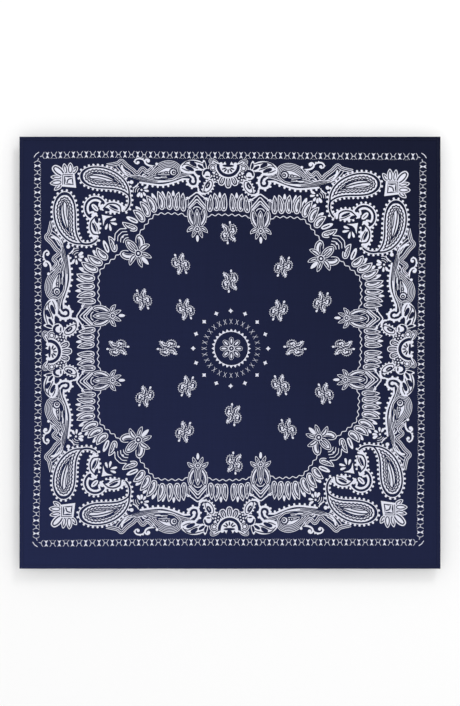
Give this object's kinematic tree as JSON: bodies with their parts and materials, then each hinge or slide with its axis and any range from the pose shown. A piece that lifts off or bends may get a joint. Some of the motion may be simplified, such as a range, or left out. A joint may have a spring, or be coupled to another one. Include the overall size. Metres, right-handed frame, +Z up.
{
  "type": "oversized square scarf",
  "caption": "Large square printed cotton scarf with turned hems, spread flat and face up.",
  "frame": {"origin": "middle of the flat underside, on the surface the scarf lies on", "axes": "+Z up out of the printed face, +Y along the scarf's longer side towards its top edge, +X across it to the right"},
  "size_m": [0.877, 0.9, 0.0018],
  "materials": {
    "printed_cotton": "matt plain-weave cotton, navy with a white print",
    "hem_cotton": "matt plain-weave cotton, navy, stitched in navy thread"
  },
  "bodies": {
    "root": {"scarf_panel": "printed_cotton", "hem_left": "hem_cotton", "hem_right": "hem_cotton", "hem_top": "hem_cotton", "hem_bottom": "hem_cotton"}
  },
  "joints": []
}
